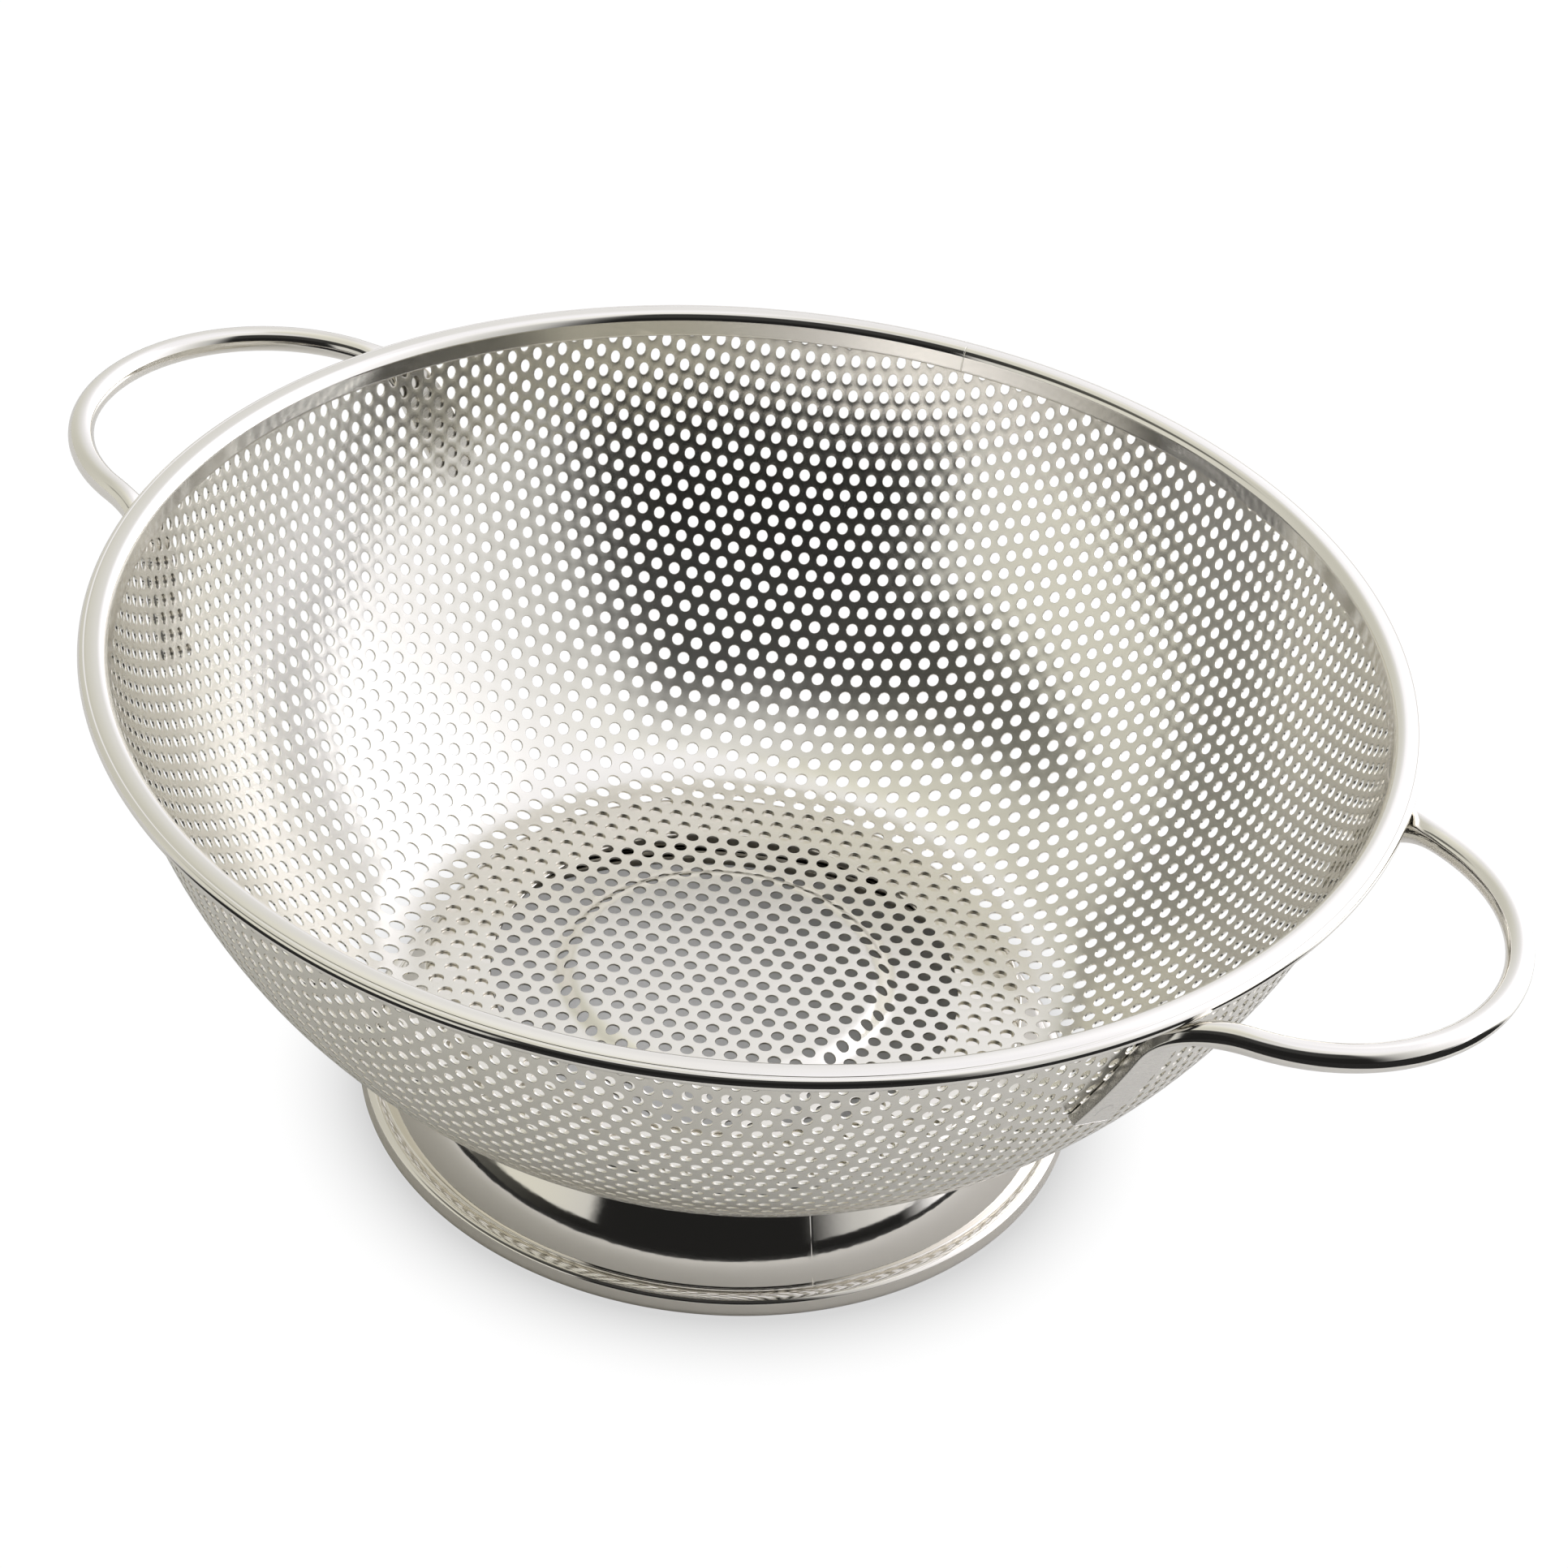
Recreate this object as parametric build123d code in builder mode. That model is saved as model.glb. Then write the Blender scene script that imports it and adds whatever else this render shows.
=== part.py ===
from build123d import *
from math import acos, asin, atan2, ceil, cos, degrees, hypot, pi, radians, sin, sqrt
import os

# A free-standing colander of stainless steel: a bowl drawn from perforated sheet, a folded
# band round its edge, a rolled ring foot and two bent rod handles, crimped or welded on.
# Millimetres. The origin is the middle of the circle that the foot stands on, +Z is up and
# the handles lie along X.

# Bowl: a flat bottom with a raised middle, a rounded corner and a spherical wall
overall_height = 125.2
bowl_sheet = 0.6
mouth_radius = 142.1
mouth_depth = 3.0
base_height = 29.4
floor_radius = 72.0
corner_radius = 24.0
plateau_radius = 37.5
plateau_rise = 2.0
plateau_bend = 5.0
edge_bend = 1.0
edge_width = 1.2

# Perforation: staggered round holes at 60 degrees, punched in the flat blank before it is
# drawn. The solid carries one hole for a block of real ones, as many times larger, which
# keeps the lattice's direction and the share of open metal.
hole_diameter = 3.0
hole_pitch = 5.0
holes_joined = 3
lattice_turn = 29.7
lattice_shift_x = 1.9
lattice_shift_y = 0.2
hole_rim_gap = 2.5

# Rim band: a strip folded over the bowl's edge, its outer lip set off by a crease
rim_overhang = 5.4
rim_strip = 0.6
rim_height = 3.8
rim_crown_inset = 4.2
rim_crease_inset = 2.0
rim_crease_drop = 0.9
skirt_depth = 4.2
rim_fit = 0.05
rim_joint_gap = 0.25
rim_joint_turn = 103.8

# Foot: a rolled ring with a flange under the bowl and a curl turned out at the bottom
foot_sheet = 0.7
foot_inset = 1.4
foot_flare = 13.9
foot_flange_width = 15.6
foot_bend = 2.5
curl_radius = 2.9
curl_neck = 0.6
curl_neck_turn = 100.0
curl_turn = 285.0
stand_width = 1.5
foot_seam_turn = -39.0
foot_seam_width = 0.5
foot_seam_depth = 0.15

# Handles: a round rod bent to a loop, its ends pressed flat and welded to the wall as straps
rod_diameter = 6.0
handle_overhang = 36.4
handle_drop = 5.4
handle_dip = 0.6
loop_radius = 43.5
loop_turn = 76.0
strap_width = 11.0
strap_thickness = 2.6
strap_edge_share = 0.35
strap_length = 22.0
strap_start = 12.0
strap_splay = 5.8
strap_slant = 20.0
pressing_shares = (0, 0.3, 0.6, 0.85, 1)
round_share = 0.49
weld_mark_diameter = 4.5
weld_mark_depth = 0.15
weld_mark_inset = 4.5

# Room left between pieces that lie face to face, and how far cutting tools run past
weld_seat = 0.02
overrun = 1.0

# The wall is a sphere about a point of the axis that passes through the mouth and meets the
# corner's arc smoothly: its distance to the corner's centre is its radius less the corner's
mouth_height = overall_height - mouth_depth
corner_height = base_height + corner_radius
corner_rise = mouth_height - corner_height
squares = mouth_radius**2 + mouth_height**2 + corner_radius**2 - floor_radius**2
reach_ratio = corner_rise / corner_radius
reach_base = (squares - corner_height**2) / (2 * corner_radius)
half_sum = reach_ratio * reach_base - mouth_height
constant = reach_base**2 - mouth_radius**2 - mouth_height**2
root = sqrt(half_sum**2 - (reach_ratio**2 - 1) * constant)
sphere_height = constant / (half_sum + root)
wall_radius = reach_base - reach_ratio * sphere_height
sphere_centre = Vector(0, 0, sphere_height)
corner_angle = atan2(floor_radius, sphere_height - corner_height)
mouth_angle = atan2(mouth_radius, sphere_height - mouth_height)
plateau_angle = acos(1 - plateau_rise / (2 * plateau_bend))
plateau_run = 2 * plateau_bend * sin(plateau_angle)


def sphere_ring(height, sphere_radius=wall_radius):
    """Radius, at a height, of a sphere about the wall's centre."""
    return sqrt(sphere_radius**2 - (sphere_height - height) ** 2)


def wall_out(turn, angle):
    """Outward direction of the wall: turn goes round Z, angle up from straight down."""
    return Vector(sin(angle) * cos(turn), sin(angle) * sin(turn), -cos(angle))


def drawn_plane(x, y):
    """Where a point of the flat blank lies on the bowl's outside once the blank is drawn.

    Drawing keeps the area inside each ring: the flat radius squared is twice the integral of
    the radius along the profile. Over the corner this is solved by halving, over the sphere
    directly. Returns a plane facing into the bowl and the angle up the wall.
    """
    turn = atan2(y, x)
    past_floor = hypot(x, y) ** 2 - floor_radius**2
    if past_floor <= 0:
        return Plane(origin=(x, y, base_height), z_dir=(0, 0, 1)), 0
    ring_part = floor_radius * corner_angle + corner_radius * (1 - cos(corner_angle))
    past_corner = past_floor - 2 * corner_radius * ring_part
    if past_corner < 0:
        low, high = 0, corner_angle
        for _ in range(40):
            angle = (low + high) / 2
            swept = floor_radius * angle + corner_radius * (1 - cos(angle))
            if 2 * corner_radius * swept < past_floor:
                low = angle
            else:
                high = angle
        ring = Vector(floor_radius * cos(turn), floor_radius * sin(turn), corner_height)
        origin = ring + wall_out(turn, angle) * corner_radius
    else:
        fall = cos(corner_angle) - past_corner / (2 * wall_radius**2)
        angle = acos(max(fall, -1))
        origin = sphere_centre + wall_out(turn, angle) * wall_radius
    return Plane(origin=origin, z_dir=-wall_out(turn, angle)), angle


def hole_planes(pitch, diameter):
    """Planes of all holes of the blank's lattice that end below the rim band's skirt."""
    top_angle = mouth_angle - (skirt_depth + hole_rim_gap + diameter / 2) / wall_radius
    reach = ceil(2 * wall_radius / pitch) + 1
    turn = radians(lattice_turn)
    planes = []
    for row in range(-reach, reach + 1):
        for column in range(-reach, reach + 1):
            along = (column + row / 2) * pitch
            across = row * pitch * sin(pi / 3)
            x = lattice_shift_x + along * cos(turn) - across * sin(turn)
            y = lattice_shift_y + along * sin(turn) + across * cos(turn)
            if hypot(x, y) < 2 * wall_radius:
                plane, angle = drawn_plane(x, y)
                if angle < top_angle:
                    planes.append(plane)
    return planes


# Bowl: the outside of the sheet as one line, thickened inwards and turned round Z. Its top
# edge bends out into a narrow flange for the rim band to grip.
with BuildPart() as bowl:
    with BuildSketch(Plane.XZ):
        with BuildLine():
            middle_height = base_height + plateau_rise
            middle_end = (plateau_radius - plateau_run / 2, middle_height)
            middle = Line((0, middle_height), middle_end)
            down = JernArc(middle @ 1, middle % 1, plateau_bend, -degrees(plateau_angle))
            out = JernArc(down @ 1, down % 1, plateau_bend, degrees(plateau_angle))
            Line(out @ 1, (floor_radius, base_height))
            corner_turn = degrees(corner_angle)
            CenterArc((floor_radius, corner_height), corner_radius, -90, corner_turn)
            wall_turn = degrees(mouth_angle) - corner_turn
            wall = CenterArc((0, sphere_height), wall_radius, corner_turn - 90, wall_turn)
            edge = JernArc(wall @ 1, wall % 1, edge_bend, -degrees(mouth_angle))
            Line(edge @ 1, (edge @ 1) + Vector(edge_width, 0))
            offset(amount=bowl_sheet, side=Side.LEFT)
        make_face()
    revolve(axis=Axis.Z)
    tool_diameter = hole_diameter * holes_joined
    tool_height = 2 * (plateau_rise + bowl_sheet + overrun)
    with Locations(*hole_planes(hole_pitch * holes_joined, tool_diameter)):
        Cylinder(tool_diameter / 2, tool_height, mode=Mode.SUBTRACT)

# Rim band: skirt inside the wall, rounded crown, crease, lip, and back under to the wall
rim_radius = mouth_radius + rim_overhang
under_height = overall_height - rim_height
crease_rise = rim_height - rim_crease_drop
lip_radius = rim_crease_inset + crease_rise - sqrt(2 * rim_crease_inset * crease_rise)
skirt_sphere = wall_radius - bowl_sheet - rim_strip - rim_fit
skirt_top = overall_height - rim_height / 2
skirt_low = overall_height - rim_height / 2 - skirt_depth + rim_strip
with BuildPart() as rim_band:
    with BuildSketch(Plane.XZ):
        with BuildLine():
            skirt_end = Vector(sphere_ring(skirt_top, skirt_sphere), skirt_top)
            skirt_start = Vector(sphere_ring(skirt_low, skirt_sphere), skirt_low)
            crown = Vector(rim_radius - rim_crown_inset, overall_height)
            crease = Vector(rim_radius - rim_crease_inset, overall_height - rim_crease_drop)
            lip_middle = Vector(rim_radius - lip_radius, under_height + lip_radius)
            lip_end = Vector(lip_middle.X, under_height)
            lip_edge = Vector(rim_radius, lip_middle.Y)
            RadiusArc(skirt_start, skirt_end, -skirt_sphere)
            TangentArc(crown, skirt_end, tangent=(-1, 0))
            TangentArc(crown, crease, tangent=(1, 0))
            ThreePointArc(crease, lip_edge, lip_end)
            Line(lip_end, (sphere_ring(under_height + rim_strip) + rim_fit, under_height))
            offset(amount=rim_strip, side=Side.RIGHT)
        make_face()
    revolve(axis=Axis.Z)
    # the strip's two ends meet in a fine butt joint
    with BuildSketch(Plane.XZ.rotated((0, 0, rim_joint_turn))):
        with Locations((rim_radius, overall_height)):
            Rectangle(4 * rim_crown_inset, 4 * rim_height)
    extrude(amount=rim_joint_gap / 2, both=True, mode=Mode.SUBTRACT)

# Foot: flange, bend, flared wall, neck and curl as one line of sheet, pressed flat below
flange_height = base_height - weld_seat
foot_top_radius = floor_radius - foot_inset
foot_radius = foot_top_radius + foot_flare
bend_middle = Vector(foot_top_radius - foot_bend, flange_height - foot_bend)
curl_middle = Vector(foot_radius - curl_radius, sqrt(curl_radius**2 - stand_width**2 / 4))
neck_turn = radians(curl_neck_turn)
neck_way = Vector(cos(neck_turn), sin(neck_turn))
neck_middle = curl_middle + neck_way * (curl_radius + curl_neck)
middles = neck_middle - bend_middle
lean = atan2(middles.Y, middles.X) - asin((foot_bend + curl_neck) / middles.length)
with BuildPart() as foot_ring:
    with BuildSketch(Plane.XZ):
        with BuildLine():
            flange_start = (foot_top_radius - foot_flange_width, flange_height)
            flange = Line(flange_start, (bend_middle.X, flange_height))
            bend = JernArc(flange @ 1, flange % 1, foot_bend, degrees(lean))
            neck_start = neck_middle + Vector(sin(lean), -cos(lean)) * curl_neck
            flare = Line(bend @ 1, neck_start)
            neck = JernArc(flare @ 1, flare % 1, curl_neck, curl_neck_turn - 90 - degrees(lean))
            JernArc(neck @ 1, neck % 1, curl_radius, -curl_turn)
            offset(amount=foot_sheet, side=Side.RIGHT)
        make_face()
    revolve(axis=Axis.Z)
    split(bisect_by=Plane.XY, keep=Keep.TOP)
    # the ring's strip is closed by a weld that is ground to a fine line
    seam_turn = radians(foot_seam_turn)
    seam_side = Vector(cos(seam_turn), sin(seam_turn), 0)
    seam_middle = (flare @ 0.5).X * seam_side + Vector(0, 0, (flare @ 0.5).Y)
    seam_way = (flare % 0).X * seam_side + Vector(0, 0, (flare % 0).Y)
    seam_across = Vector(-sin(seam_turn), cos(seam_turn), 0)
    with BuildSketch(Plane(seam_middle, x_dir=seam_way, z_dir=seam_across.cross(seam_way))):
        Rectangle(flare.length, foot_seam_width)
    extrude(amount=foot_seam_depth, both=True, mode=Mode.SUBTRACT)

# Handle: half a loop, the rod's end pressed flat round a bend, and the strap along the wall
dip = radians(handle_dip)
handle_reach = rim_radius + handle_overhang
loop_centre = (handle_reach - loop_radius * cos(dip), 0, overall_height - handle_drop)
loop_up = (sin(dip), 0, cos(dip))
loop_plane = Plane(loop_centre, x_dir=(cos(dip), 0, -sin(dip)), z_dir=loop_up)
strap_edge_radius = strap_thickness * strap_edge_share
strap_sphere = wall_radius + weld_seat + strap_thickness / 2
strap_angle = mouth_angle - strap_start / wall_radius
strap_offset = loop_radius * sin(radians(loop_turn)) + strap_splay
strap_turn = asin(strap_offset / (strap_sphere * sin(strap_angle)))
strap_out = wall_out(strap_turn, strap_angle)
strap_sideways = Vector(-sin(strap_turn), cos(strap_turn), 0)
slant = radians(strap_slant)
strap_way = -cos(slant) * wall_out(strap_turn, strap_angle + pi / 2) + sin(slant) * strap_sideways
strap_across = strap_out.cross(strap_way)
strap_sweep = degrees(strap_length / strap_sphere)
strap_plane = Plane(sphere_centre, x_dir=strap_out, z_dir=strap_across)
with BuildPart() as handle_right:
    with BuildLine(loop_plane) as loop:
        CenterArc((0, 0), loop_radius, 0, loop_turn)
    with BuildSketch(Plane(loop.line @ 0, z_dir=loop.line % 0)):
        Circle(rod_diameter / 2)
    sweep(path=loop.line)
    with BuildLine() as bend_path:
        ends = (loop.line @ 1, sphere_centre + strap_out * strap_sphere)
        Spline(*ends, tangents=(loop.line % 1, strap_way))
    for share in pressing_shares:
        pressed = share * (2 - share)
        width = rod_diameter + (strap_width - rod_diameter) * pressed
        depth = rod_diameter + (strap_thickness - rod_diameter) * pressed
        rounding = (1 - pressed) * rod_diameter * round_share + pressed * strap_edge_radius
        place = Plane(bend_path.line @ share, x_dir=strap_across, z_dir=bend_path.line % share)
        with BuildSketch(place):
            RectangleRounded(width, depth, rounding)
    loft()
    with BuildLine(strap_plane) as strap_path:
        CenterArc((0, 0), strap_sphere, 0, strap_sweep)
    with BuildSketch(Plane(strap_path.line @ 0, x_dir=strap_across, z_dir=strap_way)):
        RectangleRounded(strap_width, strap_thickness, strap_edge_radius)
    sweep(path=strap_path.line)
    # a round mark that the welding tip leaves near the strap's end
    mark_angle = (strap_length - weld_mark_inset) / strap_sphere
    mark_out = strap_out * cos(mark_angle) + strap_way * sin(mark_angle)
    mark_height = strap_sphere + strap_thickness / 2 - weld_mark_depth
    with BuildSketch(Plane(sphere_centre + mark_out * mark_height, z_dir=mark_out)):
        Circle(weld_mark_diameter / 2)
    extrude(amount=strap_thickness, mode=Mode.SUBTRACT)
    mirror(about=Plane.XZ)

with BuildPart() as handle_left:
    mirror(handle_right.part, about=Plane.YZ)

os.makedirs("parts", exist_ok=True)
bowl.part.label = "bowl"
export_step(bowl.part, "parts/bowl.step")
rim_band.part.label = "rim_band"
export_step(rim_band.part, "parts/rim_band.step")
foot_ring.part.label = "foot_ring"
export_step(foot_ring.part, "parts/foot_ring.step")
handle_right.part.label = "handle_right"
export_step(handle_right.part, "parts/handle_right.step")
handle_left.part.label = "handle_left"
export_step(handle_left.part, "parts/handle_left.step")
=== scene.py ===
import math
import bpy
import numpy as np
from mathutils import Matrix


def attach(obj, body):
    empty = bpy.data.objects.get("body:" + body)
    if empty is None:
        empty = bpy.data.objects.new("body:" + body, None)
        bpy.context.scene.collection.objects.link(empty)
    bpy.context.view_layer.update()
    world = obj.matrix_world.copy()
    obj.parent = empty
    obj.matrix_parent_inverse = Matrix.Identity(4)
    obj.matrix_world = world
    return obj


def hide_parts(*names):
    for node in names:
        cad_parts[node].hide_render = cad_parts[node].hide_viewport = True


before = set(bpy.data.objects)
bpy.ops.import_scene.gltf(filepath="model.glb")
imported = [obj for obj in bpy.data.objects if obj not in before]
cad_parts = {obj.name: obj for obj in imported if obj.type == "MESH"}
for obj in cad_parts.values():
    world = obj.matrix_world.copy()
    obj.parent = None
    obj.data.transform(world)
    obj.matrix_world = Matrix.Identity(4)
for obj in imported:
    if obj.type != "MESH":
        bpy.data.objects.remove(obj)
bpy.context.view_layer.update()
MM = 0.001

# ---------------------------------------------------------------- sizes, in millimetres
# They are the source's own values. Z is up from the foot's resting plane and the handles
# lie along X.
TOP = 125.2
SHEET = 0.6
MOUTH_R = 142.1
MOUTH_Z = 122.2
BASE_Z = 29.4
FLOOR_R = 72.0
CORNER_R = 24.0
CORNER_Z = BASE_Z + CORNER_R
# the wall's outside lies on a sphere about the height SPHERE_Z
SPHERE_Z = 150.5146
WALL_R = 144.8935
# slope of the sheet where the corner meets the wall, and at the mouth
CORNER_TURN = math.radians(36.553)
MOUTH_TURN = math.radians(78.731)
# the bottom's raised middle, with two equal bends at its border
STEP_R, STEP_RISE, STEP_BEND = 37.5, 2.0, 5.0
# the edge turned outwards under the rim band
EDGE_BEND, EDGE_LENGTH = 1.0, 3.0

# the punched sheet: holes of 3 mm at 5 mm pitch in the flat blank
HOLE_R, PITCH = 1.5, 5.0
LATTICE_TURN = math.radians(29.67)
LATTICE_X, LATTICE_Y = 1.87, 0.19
BLANK_R = 193.0
HOLE_SIDES = 12
PUNCH_ROUNDING = 0.13
# tilt of the shading in the dimple at each hole: the least, and what is added over a span
# of the blank's radius
DIMPLE, DIMPLE_MORE, DIMPLE_FROM, DIMPLE_SPAN = 0.01, 0.05, 95.0, 75.0
# where the holes lie against plain equal area, in mm of the blank: polynomials of
# (radius - SHIFT_MID) / SHIFT_SPAN, and shares of the cosine and sine of once and twice the
# azimuth. The shift sets in over SHIFT_ONSET from SHIFT_FROM on.
SHIFT_FROM, SHIFT_ONSET, SHIFT_LEVEL, SHIFT_MID, SHIFT_SPAN = 62.0, 24.0, 78.0, 130.0, 60.0
OUTWARD, OUTWARD_LOBES = [1.45, 1.37, -5.66, -6.96, 0.88], [-0.9, -0.42, 0.16, 0.53]
SIDEWAYS, SIDEWAYS_LOBES = [0.2, -1.39, 1.14, -0.77, -0.89], [-0.08, -0.62, 0.2, -0.24]
# the blank's radius up to which cells belong to the bottom's own piece
FLOOR_CELLS_R = 88.0

# the rim band, with the azimuth at which the strip's ends meet
RIM_R = 147.5
LIP_HEIGHT = 3.8
STRIP = 0.6
RIM_JOINT = math.radians(103.8)
CREASE_IN, CREASE_DROP, CROWN_IN = 1.5, 0.5, 4.2
GROOVE, GROOVE_EDGE = 0.2, 0.02
SKIRT_DEPTH, SKIRT_GAP = 4.2, 0.05
# how far the curve from skirt to crown keeps the direction of its two ends
SKIRT_PULL, CROWN_PULL = (0.45, 1.0), (1.0, 0.0)
RIM_STEPS = 540

# the foot ring, with the azimuth of its welded seam
FOOT_SHEET, FOOT_TOP_R, FOOT_R = 0.7, 70.6, 84.5
FLANGE, FLANGE_GAP, FOOT_BEND, CURL_R, NECK_R = 15.6, 0.02, 2.5, 2.9, 0.6
NECK_TURN, CURL_TURN, STAND = 100.0, 285.0, 1.5
FOOT_SEAM, FOOT_MEAN_R = math.radians(-39.0), 78.0
FOOT_STEPS = 432
# its wall bulges a little. The shading is tipped by FOOT_BOW degrees per mm about the height
# at which the face rises by BOW_RISE, within two limits, and only on faces near BOW_FACE.
FOOT_BOW, BOW_LEVEL, BOW_RISE = 1.6, 11.5, 20.0
BOW_LEAST, BOW_MOST = -10.0, 9.0
BOW_FACE, BOW_NEAR, BOW_FADE = 24.0, 15.0, 6.0

# the handles
ROD_R, LOOP_R, LOOP_TURN = 3.0, 43.5, math.radians(76)
REACH, DROP, DIP = 183.89, 5.4, math.radians(0.6)
STRAP_W, STRAP_T, STRAP_L, STRAP_GAP = 11.0, 2.6, 22.0, 0.02
STRAP_START, STRAP_SPLAY, STRAP_SLANT = 12.0, 5.8, math.radians(20)
# the strap's edges are rounded by this share of its thickness, and the rod is pressed from
# this share of the bend on
STRAP_ROUNDING, PRESS_FROM = 0.14, 0.12
BEND_PULL = 1.15
LOOP_POINTS, BEND_POINTS, STRAP_POINTS = 80, 39, 39
# the welding tip's mark, from the strap's end, and its inner and outer radius
WELD_FROM_END, WELD_IN, WELD_OUT = 4.5, 1.9, 2.35


def linear(hexa):
    """sRGB hex colour as the linear RGBA that shaders take."""
    srgb = np.array([int(hexa[i:i + 2], 16) for i in (1, 3, 5)]) / 255
    low, high = srgb / 12.92, ((srgb + 0.055) / 1.055) ** 2.4
    return (*np.where(srgb <= 0.04045, low, high).tolist(), 1.0)


# ---------------------------------------------------------------- meshes
def mesh_object(name, points, quads, normals, node=None, slot=None, material=None, flat=0):
    """Object at the origin from points in mm and quads, shaded by the given point normals;
    the last so many quads, as flat says, are shaded flat."""
    mesh = bpy.data.meshes.new(name)
    points, quads = np.asarray(points, dtype=float), np.asarray(quads, dtype=np.int32)
    mesh.vertices.add(len(points))
    mesh.vertices.foreach_set("co", (points * MM).astype(np.float32).ravel())
    mesh.loops.add(quads.size)
    mesh.loops.foreach_set("vertex_index", quads.ravel())
    mesh.polygons.add(len(quads))
    mesh.polygons.foreach_set("loop_start", np.arange(0, quads.size, 4, dtype=np.int32))
    mesh.polygons.foreach_set("use_smooth", np.ones(len(quads), dtype=bool))
    mesh.update(calc_edges=True)
    corner = np.asarray(normals)[quads.ravel()]
    if flat:
        a, b, c, d = points[quads[-flat:]].transpose(1, 0, 2)
        face = np.cross(c - a, d - b)
        face /= np.maximum(np.linalg.norm(face, axis=1), 1e-12)[:, None]
        corner[-4 * flat:] = np.repeat(face, 4, 0)
    mesh.normals_split_custom_set(corner)
    thing = bpy.data.objects.new(name, mesh)
    bpy.context.scene.collection.objects.link(thing)
    mesh.materials.append(material)
    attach(thing, "root")
    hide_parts(node)
    return thing


def grid_quads(rows, columns, wrap_rows=False):
    """Quads of a two-parameter grid whose point (i, j) has the index i * columns + j. The
    columns always close to a ring."""
    i = np.arange(rows if wrap_rows else rows - 1)
    i, j = [a.ravel() for a in np.meshgrid(i, np.arange(columns), indexing="ij")]
    i2, j2 = (i + 1) % rows, (j + 1) % columns
    return np.stack([i * columns + j, i2 * columns + j, i2 * columns + j2, i * columns + j2], 1)


def arc(cx, cz, radius, start, end, count):
    """Points of a circle's arc about (cx, cz), angles in degrees from +X."""
    t = np.radians(np.linspace(start, end, count))
    return np.stack([cx + radius * np.cos(t), cz + radius * np.sin(t)], 1)


def joined(*runs):
    """One polyline from several, without the double points where they meet."""
    line = np.concatenate(runs)
    same = 1e-4
    return line[np.r_[True, np.linalg.norm(np.diff(line, axis=0), axis=1) > same]]


def line_normals(line, closed=False):
    """Unit normals to the right of a polyline's direction, at its points."""
    if closed:
        step = np.roll(line, -1, 0) - np.roll(line, 1, 0)
    else:
        step = np.gradient(line, axis=0)
    step /= np.linalg.norm(step, axis=1)[:, None]
    return np.stack([step[:, 1], -step[:, 0]], 1)


def sheet_section(line, thickness):
    """Closed outline of a sheet whose one side is the line and whose body lies to its right,
    with both cut edges rounded to half circles. It runs so that outwards is on its right."""
    n = line_normals(line)
    other = line + n * thickness
    half, end_points = thickness / 2, 4

    def cap(mid, out, side):
        t = np.linspace(0, math.pi, end_points + 2)[1:-1, None]
        return mid + half * (np.cos(t) * side + np.sin(t) * out)

    end_out = np.array([-n[-1, 1], n[-1, 0]])
    start_out = np.array([n[0, 1], -n[0, 0]])
    end_cap = cap((line[-1] + other[-1]) / 2, end_out, -n[-1])
    start_cap = cap((line[0] + other[0]) / 2, start_out, n[0])
    return np.concatenate([line, end_cap, other[::-1], start_cap])[::-1]


def turned(name, outline, steps, bow=0.0, **keys):
    """A closed outline (radius, height) turned round Z: the point at (i, j) is outline j
    at the azimuth i / steps of a turn. A bow tips the shading of the outer wall by so many
    degrees per mm, as if it bulged."""
    a = np.linspace(0, 2 * math.pi, steps + 1)[:-1, None]
    r, z = outline[None, :, 0], outline[None, :, 1]
    points = np.stack([r * np.cos(a), r * np.sin(a), z + 0 * a], 2).reshape(-1, 3)
    n = line_normals(outline, closed=True)
    if bow:
        rise = np.degrees(np.arctan2(n[:, 1], n[:, 0]))
        tip = np.clip(bow * (BOW_LEVEL - outline[:, 1]), BOW_LEAST, BOW_MOST) + rise - BOW_RISE
        tip *= np.clip((BOW_NEAR - np.abs(rise - BOW_FACE)) / BOW_FADE, 0, 1)
        c, s = np.cos(np.radians(tip)), np.sin(np.radians(tip))
        n = np.stack([n[:, 0] * c + n[:, 1] * s, n[:, 1] * c - n[:, 0] * s], 1)
    nr, nz = n[None, :, 0], n[None, :, 1]
    normals = np.stack([nr * np.cos(a), nr * np.sin(a), nz + 0 * a], 2).reshape(-1, 3)
    quads = grid_quads(steps, len(outline), wrap_rows=True)
    return mesh_object(name, points, quads, normals, **keys)


# ---------------------------------------------------------------- materials
def add_node(tree, kind, settings=None, links=None):
    """Adds a node; settings are attributes or socket values, links are {input: socket}."""
    node = tree.nodes.new(kind)
    for key, value in (settings or {}).items():
        if isinstance(key, str) and hasattr(node, key):
            setattr(node, key, value)
        else:
            node.inputs[key].default_value = value
    for key, socket in (links or {}).items():
        tree.links.new(socket, node.inputs[key])
    return node


def calc(tree, operation, *values):
    """Output of a math node whose inputs are numbers or sockets."""
    node = tree.nodes.new("ShaderNodeMath")
    node.operation = operation
    for slot_index, value in enumerate(values):
        if isinstance(value, (int, float)):
            node.inputs[slot_index].default_value = value
        else:
            tree.links.new(value, node.inputs[slot_index])
    return node.outputs[0]


def fade(tree, value, start, end, low=0.0, high=1.0):
    """Smooth step of a value from start to end, between two levels."""
    return add_node(tree, "ShaderNodeMapRange", {
        "interpolation_type": "SMOOTHSTEP", "From Min": start, "From Max": end,
        "To Min": low, "To Max": high}, {"Value": value}).outputs["Result"]


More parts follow.
